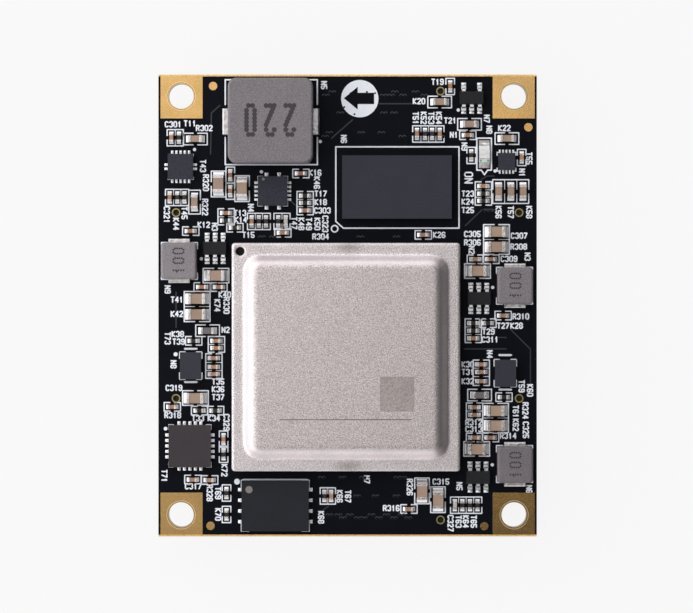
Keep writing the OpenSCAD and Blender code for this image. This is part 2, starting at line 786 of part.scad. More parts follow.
// Gold square on both faces of each corner, joined by the plated hole wall
module corner_lands() {
    land_shift_x = hole_inset_x - land_inset - land_w / 2;
    land_shift_y = hole_inset_y - land_inset - land_w / 2;
    color(gold)
        for (side = [NW, NE, SW, SE])
            translate([
                side.x * (board_w / 2 - hole_inset_x),
                side.y * (board_l / 2 - hole_inset_y),
                board_bottom
            ])
                difference() {
                    union() {
                        cylinder(h = board_t, d = hole_d + 2 * plating_t);
                        for (z = [-plating_t, board_t])
                            translate([
                                side.x * land_shift_x - land_w / 2,
                                side.y * land_shift_y - land_w / 2,
                                z
                            ])
                                cube([land_w, land_w, plating_t]);
                    }
                    translate([0, 0, -over]) cylinder(h = board_t + 2 * over, d = hole_d);
                }
}

// Bare gold dots that the assembly camera aligns to
module fiducials() {
    color(gold) place(fiducials_at) cylinder(h = plating_t, d = fiducial_d);
}

// Gold ring and hole wall of each peg hole
module peg_hole_rings() {
    color(gold)
        place_pegs()
            difference() {
                union() {
                    cylinder(h = board_t, r = peg_hole_r + plating_t);
                    translate([0, 0, board_t]) cylinder(h = plating_t, r = peg_hole_r + peg_ring_w);
                }
                translate([0, 0, -over]) cylinder(h = board_t + 2 * over, r = peg_hole_r);
            }
}

// Square grid of solder balls under the processor
module processor_balls() {
    color(tin)
        for (i = [0 : ball_rows - 1], j = [0 : ball_rows - 1])
            translate([
                processor_at.x + (i - (ball_rows - 1) / 2) * ball_pitch,
                processor_at.y + (j - (ball_rows - 1) / 2) * ball_pitch,
                board_top
            ])
                cylinder(h = ball_h, d = ball_d);
}

// Laminate that spreads the die contacts to the balls
module processor_substrate() {
    color(laminate_green)
        translate([processor_at.x, processor_at.y, substrate_bottom + substrate_t / 2])
            cube([processor_w, processor_w, substrate_t], center = true);
}

// Silicon die, face down on the laminate
module processor_die() {
    color(silicon)
        translate([processor_at.x, processor_at.y, substrate_top + die_t / 2])
            cube([die_w, die_l, die_t], center = true);
}

// Layer of paste that carries heat from the die to the lid
module thermal_paste() {
    color(paste_grey)
        translate([processor_at.x, processor_at.y, substrate_top + die_t + paste_t / 2])
            cube([die_w, die_l, paste_t], center = true);
}

// Bead that holds the lid flange on the laminate
module lid_adhesive() {
    bead_w = lid_w - 2 * pin_mark_inset - pin_mark_d;
    color(glue_black)
        translate([processor_at.x, processor_at.y, substrate_top])
            linear_extrude(adhesive_t)
                difference() {
                    square(bead_w, center = true);
                    square(bead_w - 2 * adhesive_w, center = true);
                }
}

// Stamped lid: flange, drafted crown with round corners, pocket and first pin hole
module processor_lid() {
    crown_flank = concat(
        hollow_foot(crown_foot_r, crown_angle, foot_steps),
        shoulder(flat_inset, crown_rise, shoulder_r, crown_angle, shoulder_steps)
    );
    flange_flank = concat([[0, 0]], shoulder(flange_edge_r, flange_t, flange_edge_r, 90, edge_steps));
    mark = lid_w / 2 - pin_mark_inset;
    color(nickel)
        translate([processor_at.x, processor_at.y, 0])
            difference() {
                union() {
                    translate([0, 0, flange_bottom]) swept_block(lid_w, lid_w, flange_r, flange_flank);
                    translate([0, 0, flange_top]) swept_block(crown_w, crown_w, crown_r, crown_flank);
                }
                translate([0, 0, flange_bottom - over])
                    linear_extrude(lid_ceiling - flange_bottom + over) square(pocket_w, center = true);
                translate([-mark, mark, flange_bottom - over])
                    cylinder(h = flange_t + 2 * over, d = pin_mark_d);
            }
}

// Two blocks of three ball columns under the memory
module memory_balls() {
    rows = floor(memory_l / memory_pitch);
    color(tin)
        place(memory_at)
            for (i = [0 : rows - 1], side = [-1, 1], column = [2 : 4])
                translate([(i - (rows - 1) / 2) * memory_pitch, side * column * memory_pitch, 0])
                    cylinder(h = memory_ball_h, d = memory_ball_d);
}

// Thin laminate of the memory package
module memory_substrate() {
    color(laminate_green)
        place(memory_at)
            translate([0, 0, memory_ball_h + memory_substrate_t / 2])
                cube([memory_l, memory_w, memory_substrate_t], center = true);
}

// Moulding over the memory die
module memory_mould() {
    color(memory_violet)
        place(memory_at)
            translate([0, 0, memory_ball_h + memory_substrate_t + memory_mould_t / 2])
                cube([memory_l, memory_w, memory_mould_t], center = true);
}

// Flash memory body
module flash_body() {
    color(mould_black) place(flash_at) leadless_body(flash_l, flash_w, flash_h, flash_sides);
}

// Flash memory contacts
module flash_leads() {
    color(tin)
        place(flash_at) {
            contact_rows(flash_l, flash_w, flash_sides) soldered_profile();
            thermal_pad(flash_pad_l, flash_pad_w);
        }
}

// Pressed powder core of the main inductor
module main_inductor_core() {
    color(core_grey)
        place(main_inductor_at) inductor_core(main_core_w, main_core_w, main_core_h, main_core_r);
}

// Terminals on the west and east sides of the main inductor
module main_inductor_terminals() {
    color(tin)
        place(main_inductor_at)
            for (turn = [-90, 90])
                rotate(turn) translate([0, main_core_w / 2, 0])
                    inductor_terminal(
                        main_terminal_w, main_terminal_reach, main_terminal_h, main_terminal_foot
                    );
}

// Pressed powder cores of the small inductors
module small_inductor_cores() {
    color(core_grey)
        place(small_inductors_at) inductor_core(small_core_w, small_core_l, small_core_h, small_core_r);
}

// Terminals on the north and south sides of the small inductors
module small_inductor_terminals() {
    color(tin)
        place(small_inductors_at)
            for (turn = [0, 180])
                rotate(turn) translate([0, small_core_l / 2, 0])
                    inductor_terminal(
                        small_terminal_w, small_terminal_reach, small_terminal_h, small_terminal_foot
                    );
}

// Large regulator body
module large_regulator_body() {
    color(mould_black)
        place(large_regulator_at)
            leadless_body(large_regulator_w, large_regulator_w, leadless_h, large_regulator_sides);
}

// Large regulator contacts
module large_regulator_leads() {
    color(tin)
        place(large_regulator_at) leadless_leads(large_regulator_w, large_regulator_sides);
}

// Core voltage regulator body
module core_regulator_body() {
    color(mould_black)
        place(core_regulator_at)
            leadless_body(core_regulator_w, core_regulator_w, leadless_h, core_regulator_sides);
}

// Core voltage regulator contacts
module core_regulator_leads() {
    color(tin)
        place(core_regulator_at) leadless_leads(core_regulator_w, core_regulator_sides);
}

// Small regulator body
module small_regulator_body() {
    color(mould_black)
        place(small_regulator_at)
            leadless_body(small_regulator_w, small_regulator_w, leadless_h, small_regulator_sides);
}

// Small regulator contacts
module small_regulator_leads() {
    color(tin)
        place(small_regulator_at) leadless_leads(small_regulator_w, small_regulator_sides);
}

// Load switch body
module load_switch_body() {
    color(mould_black)
        place(load_switch_at) leadless_body(load_switch_w, load_switch_w, load_switch_h, load_switch_sides);
}

// Load switch contacts
module load_switch_leads() {
    color(tin) place(load_switch_at) leadless_leads(load_switch_w, load_switch_sides);
}

// Moulded bodies of the three small converters
module converter_bodies() {
    color(mould_black) place(converters_at) converter_body();
}

// Six leads of each small converter
module converter_leads() {
    color(tin) place(converters_at) gull_leads([-1, 0, 1], [-1, 0, 1]);
}

// Moulded body of the voltage supervisor
module supervisor_body() {
    color(mould_black) place(supervisor_at) converter_body();
}

// Five leads of the voltage supervisor
module supervisor_leads() {
    color(tin) place(supervisor_at) gull_leads([-1, 1], [-1, 0, 1]);
}

// Moulded bodies of the two oscillators
module oscillator_bodies() {
    color(mould_black)
        place(oscillators_at)
            translate([0, 0, solder_t + oscillator_h / 2])
                cube([oscillator_w, oscillator_l, oscillator_h], center = true);
}

// Four contacts under the corners of each oscillator
module oscillator_pads() {
    color(tin)
        place(oscillators_at)
            for (x = [-1, 1], y = [-1, 1])
                translate([
                    x * (oscillator_w - oscillator_pad_w + oscillator_toe) / 2,
                    y * (oscillator_l - oscillator_pad_w) / 2,
                    solder_t / 2
                ])
                    cube([oscillator_pad_w + oscillator_toe, oscillator_pad_w, solder_t], center = true);
}

// White base of the power lamp
module lamp_base() {
    base_l = lamp_l - 2 * band_t;
    color(lamp_white)
        place(lamp_at)
            translate([0, 0, solder_t + band_t + lamp_base_t / 2])
                cube([base_l, lamp_w, lamp_base_t], center = true);
}

// Clear lens over the middle of the lamp
module lamp_lens() {
    color(lens_clear)
        place(lamp_at)
            translate([0, 0, solder_t + band_t + lamp_base_t + lamp_lens_h / 2])
                drafted_lens(lamp_lens_l, lamp_w, lamp_lens_h);
}

// Lens block that narrows towards its top along the lamp
module drafted_lens(length, width, height) {
    rotate([90, 0, 0]) linear_extrude(width, center = true)
        polygon([
            [-length / 2, -height / 2], [length / 2, -height / 2],
            [length / 2 - lamp_lens_taper, height / 2], [-length / 2 + lamp_lens_taper, height / 2]
        ]);
}

// Folded metal ends of the lamp with their solder
module lamp_terminals() {
    end_l = (lamp_l - lamp_lens_l) / 2;
    rise = solder_t + band_t + lamp_base_t;
    color(tin)
        place(lamp_at)
            for (turn = [-90, 90])
                rotate(turn) translate([0, lamp_l / 2, 0])
                    strip(lamp_w) {
                        translate([-end_l, 0]) square([end_l, solder_t + band_t]);
                        translate([-band_t, 0]) square([band_t, rise]);
                        square([lamp_base_t + lamp_toe, solder_t]);
                        fillet_profile(lamp_base_t, solder_t);
                    }
}

// Ceramic bodies of the small capacitors
module small_capacitor_bodies() {
    color(ceramic_brown)
        place(small_capacitors_at) chip_core(small_chip_l, small_chip_w, small_capacitor_h);
}

// Metal ends of the small capacitors
module small_capacitor_ends() {
    color(tin)
        place(small_capacitors_at) chip_ends(small_chip_l, small_chip_w, small_capacitor_h, small_band);
}

// Ceramic bodies of the medium capacitors
module medium_capacitor_bodies() {
    color(ceramic_tan)
        place(medium_capacitors_at) chip_core(medium_chip_l, medium_chip_w, medium_chip_h);
}

// Metal ends of the medium capacitors
module medium_capacitor_ends() {
    color(tin)
        place(medium_capacitors_at) chip_ends(medium_chip_l, medium_chip_w, medium_chip_h, medium_band);
}

// Ceramic bodies of the large capacitors
module large_capacitor_bodies() {
    color(ceramic_tan)
        place(large_capacitors_at) chip_core(large_chip_l, large_chip_w, large_chip_h);
}

// Metal ends of the large capacitors
module large_capacitor_ends() {
    color(tin)
        place(large_capacitors_at) chip_ends(large_chip_l, large_chip_w, large_chip_h, large_band);
}

// Coated ceramic bodies of the resistors
module resistor_bodies() {
    color(resistor_black) place(resistors_at) chip_core(small_chip_l, small_chip_w, resistor_h);
}

// Metal ends of the resistors
module resistor_ends() {
    color(tin) place(resistors_at) chip_ends(small_chip_l, small_chip_w, resistor_h, small_band);
}

// Ferrite bodies of the noise beads
module bead_bodies() {
    color(ferrite_grey) place(beads_at) chip_core(medium_chip_l, medium_chip_w, medium_chip_h);
}

// Metal ends of the noise beads
module bead_ends() {
    color(tin) place(beads_at) chip_ends(medium_chip_l, medium_chip_w, medium_chip_h, medium_band);
}

// Ceramic bodies of the capacitors on the underside, behind the processor
module underside_capacitor_bodies() {
    color(ceramic_brown) place_underside() chip_core(small_chip_l, small_chip_w, small_capacitor_h);
}

// Metal ends of the underside capacitors
module underside_capacitor_ends() {
    color(tin) place_underside() chip_ends(small_chip_l, small_chip_w, small_capacitor_h, small_band);
}

// Solder that joins every chip to the board
module solder_joints() {
    color(tin) {
        place(small_capacitors_at) chip_solder(small_chip_l, small_chip_w, small_band, small_fillet);
        place(resistors_at) chip_solder(small_chip_l, small_chip_w, small_band, small_fillet);
        place(medium_capacitors_at) chip_solder(medium_chip_l, medium_chip_w, medium_band, medium_fillet);
        place(beads_at) chip_solder(medium_chip_l, medium_chip_w, medium_band, medium_fillet);
        place(large_capacitors_at) chip_solder(large_chip_l, large_chip_w, large_band, large_fillet);
        place_underside() chip_solder(small_chip_l, small_chip_w, small_band, small_fillet);
    }
}

// Connector housings along the four board edges
module connector_north() {
    color(housing_black) at_side(north_at) connector_housing();
}
module connector_south() {
    color(housing_black) at_side(south_at) connector_housing();
}
module connector_west() {
    color(housing_black) at_side(west_at) connector_housing();
}
module connector_east() {
    color(housing_black) at_side(east_at) connector_housing();
}

// Contacts in the four connectors
module contacts_north() {
    color(gold) at_side(north_at) connector_contacts();
}
module contacts_south() {
    color(gold) at_side(south_at) connector_contacts();
}
module contacts_west() {
    color(gold) at_side(west_at) connector_contacts();
}
module contacts_east() {
    color(gold) at_side(east_at) connector_contacts();
}

circuit_board();
corner_lands();
fiducials();
peg_hole_rings();
processor_balls();
processor_substrate();
processor_die();
thermal_paste();
lid_adhesive();
processor_lid();
memory_balls();
memory_substrate();
memory_mould();
flash_body();
flash_leads();
main_inductor_core();
main_inductor_terminals();
small_inductor_cores();
small_inductor_terminals();
large_regulator_body();
large_regulator_leads();
core_regulator_body();
core_regulator_leads();
small_regulator_body();
small_regulator_leads();
load_switch_body();
load_switch_leads();
converter_bodies();
converter_leads();
supervisor_body();
supervisor_leads();
oscillator_bodies();
oscillator_pads();
lamp_base();
lamp_lens();
lamp_terminals();
small_capacitor_bodies();
small_capacitor_ends();
medium_capacitor_bodies();
medium_capacitor_ends();
large_capacitor_bodies();
large_capacitor_ends();
resistor_bodies();
resistor_ends();
bead_bodies();
bead_ends();
underside_capacitor_bodies();
underside_capacitor_ends();
solder_joints();
connector_north();
connector_south();
connector_west();
connector_east();
contacts_north();
contacts_south();
contacts_west();
contacts_east();
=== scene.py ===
"""Looks of the system on module: finishes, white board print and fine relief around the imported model."""

import math

import bpy
import numpy as np
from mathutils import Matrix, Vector


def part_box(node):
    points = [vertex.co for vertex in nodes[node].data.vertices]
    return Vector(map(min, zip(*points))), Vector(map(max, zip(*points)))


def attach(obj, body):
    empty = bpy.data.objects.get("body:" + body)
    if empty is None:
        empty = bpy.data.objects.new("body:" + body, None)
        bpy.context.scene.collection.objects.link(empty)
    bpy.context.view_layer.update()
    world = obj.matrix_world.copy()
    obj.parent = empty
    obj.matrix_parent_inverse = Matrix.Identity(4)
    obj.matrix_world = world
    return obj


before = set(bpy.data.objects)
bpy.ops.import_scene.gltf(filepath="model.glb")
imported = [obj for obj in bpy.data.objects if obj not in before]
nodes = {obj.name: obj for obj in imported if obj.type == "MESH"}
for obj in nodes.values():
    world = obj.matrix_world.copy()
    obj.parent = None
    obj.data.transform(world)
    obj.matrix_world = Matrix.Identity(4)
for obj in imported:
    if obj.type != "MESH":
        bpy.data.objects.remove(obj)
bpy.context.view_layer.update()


# Circuit board: glass-fibre laminate under black solder mask, routed along its long sides.
# The north and south edges were scored and snapped, so bare tan laminate shows there.
MM = 0.001
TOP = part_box("circuit_board")[1].z / MM


def srgb(red, green, blue):
    """Linear colour of a display colour given in 0 to 255."""
    shares = [v / 255 for v in (red, green, blue)]
    return tuple(s / 12.92 if s <= 0.04045 else ((s + 0.055) / 1.055) ** 2.4 for s in shares)


def new_group(name, inputs, outputs):
    """Shader node group with the given sockets, and its input and output nodes."""
    tree = bpy.data.node_groups.new(name, "ShaderNodeTree")
    for title, kind, value in inputs:
        socket = tree.interface.new_socket(title, in_out="INPUT", socket_type=kind)
        socket.default_value = value
    for title, kind in outputs:
        tree.interface.new_socket(title, in_out="OUTPUT", socket_type=kind)
    return tree, tree.nodes.new("NodeGroupInput"), tree.nodes.new("NodeGroupOutput")


def join(tree, source, target):
    """Link from (node, output) to (node, input)."""
    tree.links.new(source[0].outputs[source[1]], target[0].inputs[target[1]])


def add_math(tree, operation, first, second):
    """Math node whose inputs are links or plain numbers."""
    node = tree.nodes.new("ShaderNodeMath")
    node.operation = operation
    for i, value in enumerate((first, second)):
        if isinstance(value, tuple):
            join(tree, value, (node, i))
        else:
            node.inputs[i].default_value = value
    return node


def make_grain():
    """Group that mottles a colour by fine grain and broad patches, with a rough, round-edged normal."""
    tree, entry, out = new_group(
        "Grain",
        [
            ("Colour", "NodeSocketColor", (0.5, 0.5, 0.5, 1)),
            ("Grain size", "NodeSocketFloat", 6000),
            ("Grain", "NodeSocketFloat", 0.2),
            ("Patches", "NodeSocketFloat", 0.2),
            ("Relief", "NodeSocketFloat", 3),
            ("Edge", "NodeSocketFloat", 0),
        ],
        [("Colour", "NodeSocketColor"), ("Normal", "NodeSocketVector")],
    )
    place = tree.nodes.new("ShaderNodeTexCoord")
    fine = tree.nodes.new("ShaderNodeTexNoise")
    fine.inputs["Detail"].default_value = 2
    broad = tree.nodes.new("ShaderNodeTexNoise")
    broad.inputs["Scale"].default_value = 420
    broad.inputs["Detail"].default_value = 1
    join(tree, (entry, "Grain size"), (fine, "Scale"))
    shade = 1.0
    for noise, amount in ((fine, "Grain"), (broad, "Patches")):
        join(tree, (place, "Object"), (noise, "Vector"))
        centred = add_math(tree, "SUBTRACT", (noise, 0), 0.5)
        scaled = add_math(tree, "MULTIPLY", (centred, 0), (entry, amount))
        lifted = add_math(tree, "ADD", (scaled, 0), 1.0)
        kept = add_math(tree, "MAXIMUM", (lifted, 0), 0.1)
        shade = (add_math(tree, "MULTIPLY", (kept, 0), shade), 0)
    tint = tree.nodes.new("ShaderNodeVectorMath")
    tint.operation = "SCALE"
    join(tree, (entry, "Colour"), (tint, 0))
    join(tree, shade, (tint, "Scale"))
    join(tree, (tint, 0), (out, "Colour"))
    bump = tree.nodes.new("ShaderNodeBump")
    depth = add_math(tree, "MULTIPLY", (entry, "Relief"), 0.001 * MM)
    join(tree, (depth, 0), (bump, "Distance"))
    join(tree, (fine, 0), (bump, "Height"))
    rounded = tree.nodes.new("ShaderNodeBevel")
    rounded.samples = 6
    radius = add_math(tree, "MULTIPLY", (entry, "Edge"), MM)
    join(tree, (radius, 0), (rounded, "Radius"))
    join(tree, (rounded, 0), (bump, "Normal"))
    join(tree, (bump, 0), (out, "Normal"))
    return tree


GRAIN = make_grain()


def grained(tree, colour, size, grain):
    """Grain group node for one colour of a material."""
    group = tree.nodes.new("ShaderNodeGroup")
    group.node_tree = GRAIN
    group.inputs["Colour"].default_value = (*colour, 1)
    group.inputs["Grain size"].default_value = size
    group.inputs["Grain"].default_value = grain
    return group


def finish(name, colour, roughness, metallic=0.0, size=6000, grain=0.2, patches=0.2, relief=3,
           gloss=0.5, edge=0):
    """Material of one finish. The size is in grains per metre, the relief in thousandths of a
    millimetre, and the edge is the radius that corners are shaded with, in millimetres."""
    mat = bpy.data.materials.new(name)
    mat.use_nodes = True
    tree = mat.node_tree
    shader = tree.nodes["Principled BSDF"]
    shader.inputs["Roughness"].default_value = roughness
    shader.inputs["Metallic"].default_value = metallic
    shader.inputs["Specular IOR Level"].default_value = gloss
    group = grained(tree, colour, size, grain)
    for socket, value in (("Patches", patches), ("Relief", relief), ("Edge", edge)):
        group.inputs[socket].default_value = value
    join(tree, (group, "Colour"), (shader, "Base Color"))
    join(tree, (group, "Normal"), (shader, "Normal"))
    return mat


def paint(mat, *names):
    """Gives CAD nodes their material."""
    for name in names:
        data = nodes[name].data
        data.materials.clear()
        data.materials.append(mat)


def mix_in(mat, mask, colour):
    """Lays a second colour over a material's own, where the mask is 1. Both are (node, output)."""
    tree = mat.node_tree
    shader = tree.nodes["Principled BSDF"]
    under = shader.inputs["Base Color"].links[0]
    mix = tree.nodes.new("ShaderNodeMix")
    mix.data_type = "RGBA"
    join(tree, mask, (mix, 0))
    tree.links.new(under.from_socket, mix.inputs[6])
    join(tree, colour, (mix, 7))
    join(tree, (mix, 2), (shader, "Base Color"))


def face_axes(tree):
    """Node that puts out the X, Y and Z of a face's normal."""
    surface = tree.nodes.new("ShaderNodeNewGeometry")
    axes = tree.nodes.new("ShaderNodeSeparateXYZ")
    join(tree, (surface, "True Normal"), (axes, 0))
    return axes


MASK = finish("board_mask", srgb(11, 13, 20), 0.42, size=2500, grain=0.35, patches=0.35,
              relief=1.5, gloss=0.06)
tree = MASK.node_tree
axes = face_axes(tree)
north_or_south = add_math(tree, "GREATER_THAN", (add_math(tree, "ABSOLUTE", (axes, "Y"), 0), 0), 0.3)
fibres = grained(tree, srgb(226, 186, 118), 5000, 1.6)
mix_in(MASK, (north_or_south, 0), (fibres, "Colour"))
place = tree.nodes.new("ShaderNodeTexCoord")
torn = tree.nodes.new("ShaderNodeTexNoise")
torn.inputs["Scale"].default_value = 2600
join(tree, (place, "Object"), (torn, "Vector"))
east_or_west = add_math(tree, "GREATER_THAN", (add_math(tree, "ABSOLUTE", (axes, "X"), 0), 0), 0.5)
spots = add_math(tree, "GREATER_THAN", (torn, 0), 0.69)
bare = add_math(tree, "MULTIPLY", (east_or_west, 0), (spots, 0))
mix_in(MASK, (bare, 0), (grained(tree, srgb(158, 131, 90), 5000, 1.0), "Colour"))
paint(MASK, "circuit_board")


# Copper under the mask: tracks stand a little proud, and each via is closed by a small cap of mask.
# Both are covered by the same black coat, so they show only by their edges and a glint. The lighter
# half ring on the north side of each via is a painted highlight.
track_height, track_width = 0.012, 0.16
via_pitch, cap_width, cap_height = 0.46, 0.4, 0.05
glint_radius, glint_width, glint_height = 0.19, 0.08, 0.03


class Sheet:
    """Thin raised shapes on a level face, gathered into one mesh. Sizes are in millimetres."""

    def __init__(self, level, height):
        self.level, self.height = level, height
        self.points, self.faces, self.count = [], [], 0

    def plate(self, outline):
        """Closed plate with the given outline, drawn counter-clockwise. Its height differs by a hair
        from that of the last one, so that crossing plates don't flicker."""
        hair = 0.0005
        low = self.level
        high = self.level + self.height + hair * (self.count % 7)
        self.count += 1
        start, n = len(self.points), len(outline)
        self.points += [(x, y, low) for x, y in outline] + [(x, y, high) for x, y in outline]
        self.faces.append(tuple(range(start + n, start + 2 * n)))
        self.faces.append(tuple(range(start + n - 1, start - 1, -1)))
        for i in range(n):
            j = (i + 1) % n
            self.faces.append((start + i, start + j, start + n + j, start + n + i))

    def disc(self, x, y, diameter, steps=20):
        """Round dot."""
        turns = [2 * math.pi * i / steps for i in range(steps)]
        self.plate([(x + math.cos(t) * diameter / 2, y + math.sin(t) * diameter / 2) for t in turns])

    def ring(self, x, y, outer, inner, steps=24):
        """Flat ring, as a run of four-sided plates."""
        for i in range(steps):
            a, b = 2 * math.pi * i / steps, 2 * math.pi * (i + 1) / steps
            corners = [(outer, a), (outer, b), (inner, b), (inner, a)]
            self.plate([(x + math.cos(t) * d / 2, y + math.sin(t) * d / 2) for d, t in corners])

    def line(self, points, width, steps=3):
        """Drawn line with round ends through the points."""
        for (x0, y0), (x1, y1) in zip(points, points[1:]):
            turn = math.atan2(y1 - y0, x1 - x0)
            outline = []
            for x, y, first in ((x1, y1, turn - math.pi / 2), (x0, y0, turn + math.pi / 2)):
                for i in range(steps + 1):
                    t = first + math.pi * i / steps
                    outline.append((x + math.cos(t) * width / 2, y + math.sin(t) * width / 2))
            self.plate(outline)

    def dome(self, x, y, width, length, height, steps=12, rings=4):
        """Low dome on an oval foot."""
        start = len(self.points)
        for i in range(rings):
            rise = math.pi / 2 * i / rings
            for j in range(steps):
                t = 2 * math.pi * j / steps
                spread = math.cos(rise) / 2
                spot = (x + math.cos(t) * width * spread, y + math.sin(t) * length * spread)
                self.points.append((*spot, self.level + height * math.sin(rise)))
        self.points.append((x, y, self.level + height))
        self.faces.append(tuple(range(start + steps - 1, start - 1, -1)))
        for i in range(rings):
            for j in range(steps):
                a, b = start + i * steps + j, start + i * steps + (j + 1) % steps
                if i < rings - 1:
                    self.faces.append((a, b, b + steps, a + steps))
                else:
                    self.faces.append((a, b, start + rings * steps))

    def piece(self, name, mat, slot, smooth=False):
        """The finished mesh as a piece that rides with the module."""
        mesh = bpy.data.meshes.new(name)
        mesh.from_pydata([(x * MM, y * MM, z * MM) for x, y, z in self.points], [], self.faces)
        mesh.polygons.foreach_set("use_smooth", [smooth] * len(mesh.polygons))
        mesh.materials.append(mat)
        obj = bpy.data.objects.new(name, mesh)
        bpy.context.scene.collection.objects.link(obj)
        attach(obj, "root")


tracks = Sheet(TOP, track_height)
for run in (
    [(0.6, 22.1), (-1.9, 19.9)],
    [(3.7, 24.0), (8.0, 24.0)],
    [(-15.2, 23.8), (-16.2, 22.9), (-16.3, 18.0)],
    [(-2.3, -23.9), (-2.9, -24.3)],
    [(-20.4, 1.6), (-20.4, -2.6)],
    [(16.2, 11.45), (17.3, 11.45)],
    [(14.0, 9.5), (16.0, 11.4)],
    [(-6.7, 12.4), (-6.2, 11.9)],
    [(15.9, 15.0), (16.6, 15.4), (17.4, 15.4)],
    [(13.9, -5.16), (18.85, -5.16)],
    [(18.0, -3.8), (18.85, -3.8)],
    [(19.4, -2.85), (21.75, -5.2), (21.75, -9.3)],
):
    tracks.line(run, track_width)
vias, glint_arcs = Sheet(TOP, 0), Sheet(TOP, glint_height)
half_turn = [math.pi * i / 6 for i in range(7)]
for y, pairs in (
    (25.35, (-2.05, 5.4, 7.85)),
    (24.95, (-2.8, 4.05, 4.95, 6.36, 8.9)),
    (22.85, (-1.1, 4.1, 5.3)),
    (20.5, (-2.4, 1.4, 3.8, 9.3)),
    (20.05, (-2.9, 6.3, 10.9)),
    (8.1, (-10.4, -9.1, 1.3, 5.6)),
    (11.2, (16.45, 16.95)),
    (-20.5, (-3.3, -0.85, 1.6, 5.7, 6.4)),
    (-22.7, (0.9, 3.1, 5.6)),
    (-24.95, (-2.4, -1.3, 0.05, 2.6, 4.4, 6.2)),
    (-25.3, (-0.8, 1.0, 1.7, 3.5, 5.3, 7.0)),
):
    for first in pairs:
        for x in (first, first + via_pitch):
            vias.dome(x, y, cap_width, cap_width, cap_height)
            arc = [(x + glint_radius * math.cos(t), y + glint_radius * math.sin(t)) for t in half_turn]
            glint_arcs.line(arc, glint_width, 1)
CAP = finish("masked_via", srgb(12, 14, 20), 0.35, gloss=0.12)
vias.piece("masked_vias", CAP, "board_mask", smooth=True)
RAISED = finish("masked_copper", srgb(28, 31, 39), 0.4, grain=0.2, patches=0.3)
tracks.piece("masked_tracks", RAISED, "board_mask")
# Raised half rings on the north side of the vias, painted lighter than the mask: a painted highlight.
VIA_GLINT = finish("painted_via_glint", srgb(50, 53, 61), 0.4, grain=0.4, patches=0.3)
glint_arcs.piece("painted_via_glints", VIA_GLINT, "board_mask")


# White print: epoxy ink screened on the mask. Broken frames surround the chips, brackets and dots
# mark the packages and their first pins, and short part numbers are drawn with a round pen.
LINE = 0.14
WHITE = finish("white_print", srgb(233, 236, 244), 0.55, size=9000, grain=0.25, patches=0.12)
ink = Sheet(TOP, 0.02)


def solids(node):
    """Lowest and highest corner of each separate solid of a node, in millimetres."""
    mesh = nodes[node].data
    owner, group_of = {}, {}

    def root(k):
        while owner[k] != k:
            owner[k] = owner[owner[k]]
            k = owner[k]
        return k

    keys = [tuple(round(c * 1e6) for c in v.co) for v in mesh.vertices]
    for key in keys:
        owner.setdefault(key, key)
    for face in mesh.polygons:
        first = root(keys[face.vertices[0]])
        for v in face.vertices[1:]:
            owner[root(keys[v])] = first
    for key in owner:
        group_of.setdefault(root(key), []).append(key)
    found = []
    for members in group_of.values():
        spots = np.array(members) * 1e-3
        found.append((spots.min(0), spots.max(0)))
    return sorted(found, key=lambda f: tuple(np.round(f[0], 3)))


def frame_row(sheet, row, along, room_along, room_across):
    """Shared frame of a row of like chips: closed ends, sides open in the middle, thin dividers."""
    across = 1 - along
    low = min(c[0][across] for c in row) - room_across
    high = max(c[1][across] for c in row) + room_across
    start = row[0][0][along] - room_along
    end = row[0][1][along] + room_along
    gap = 0.27

    def put(points, width):
        sheet.line([p if along == 0 else (p[1], p[0]) for p in points], width)

    middle = (start + end) / 2
    put([(start, low), (start, high)], LINE)
    put([(end, low), (end, high)], LINE)
    for side in (low, high):
        put([(start, side), (middle - gap, side)], LINE)
        put([(middle + gap, side), (end, side)], LINE)
    for a, b in zip(row, row[1:]):
        between = (a[1][across] + b[0][across]) / 2
        put([(start, between), (middle - gap, between)], LINE * 0.6)
        put([(middle + gap, between), (end, between)], LINE * 0.6)


def frame_chips(sheet, names, room_along, room_across):
    """Frames round all chips of some nodes. Chips side by side in a row share one frame."""
    chips = [c for name in names for c in solids(name)]
    for along in (0, 1):
        across = 1 - along
        turned = [c for c in chips if (c[1] - c[0])[along] > (c[1] - c[0])[across]]
        turned.sort(key=lambda c: (round(c[0][along] + c[1][along], 1), c[0][across]))
        row = []
        for chip in turned:
            in_line = row and abs(chip[0][along] - row[-1][0][along]) < 0.2
            near = row and 0 < chip[0][across] - row[-1][1][across] < 1.2 * room_across + 0.35
            if row and not (in_line and near):
                frame_row(sheet, row, along, room_along, room_across)
                row = []
            row.append(chip)
        if row:
            frame_row(sheet, row, along, room_along, room_across)


frame_chips(ink, ["small_capacitor_bodies", "resistor_bodies"], 0.50, 0.29)
frame_chips(ink, ["medium_capacitor_bodies", "bead_bodies"], 0.64, 0.32)
frame_chips(ink, ["large_capacitor_bodies"], 0.56, 0.27)


def bracket(node, room, leg, width=LINE):
    """Corner brackets just outside each package of a node."""
    for low, high in solids(node):
        for x, sx in ((low[0] - room, 1), (high[0] + room, -1)):
            for y, sy in ((low[1] - room, 1), (high[1] + room, -1)):
                ink.line([(x + sx * leg, y), (x, y), (x, y + sy * leg)], width)


bracket("core_regulator_body", 0.02, 0.55, 0.1)
bracket("large_regulator_body", 0.02, 0.6, 0.1)
bracket("small_regulator_body", 0.02, 0.3, 0.06)
bracket("load_switch_body", 0.12, 0.35)
bracket("small_inductor_cores", 0.04, 0.75)
bracket("flash_body", 0.03, 0.9)
bracket("oscillator_bodies", 0.03, 0.6)

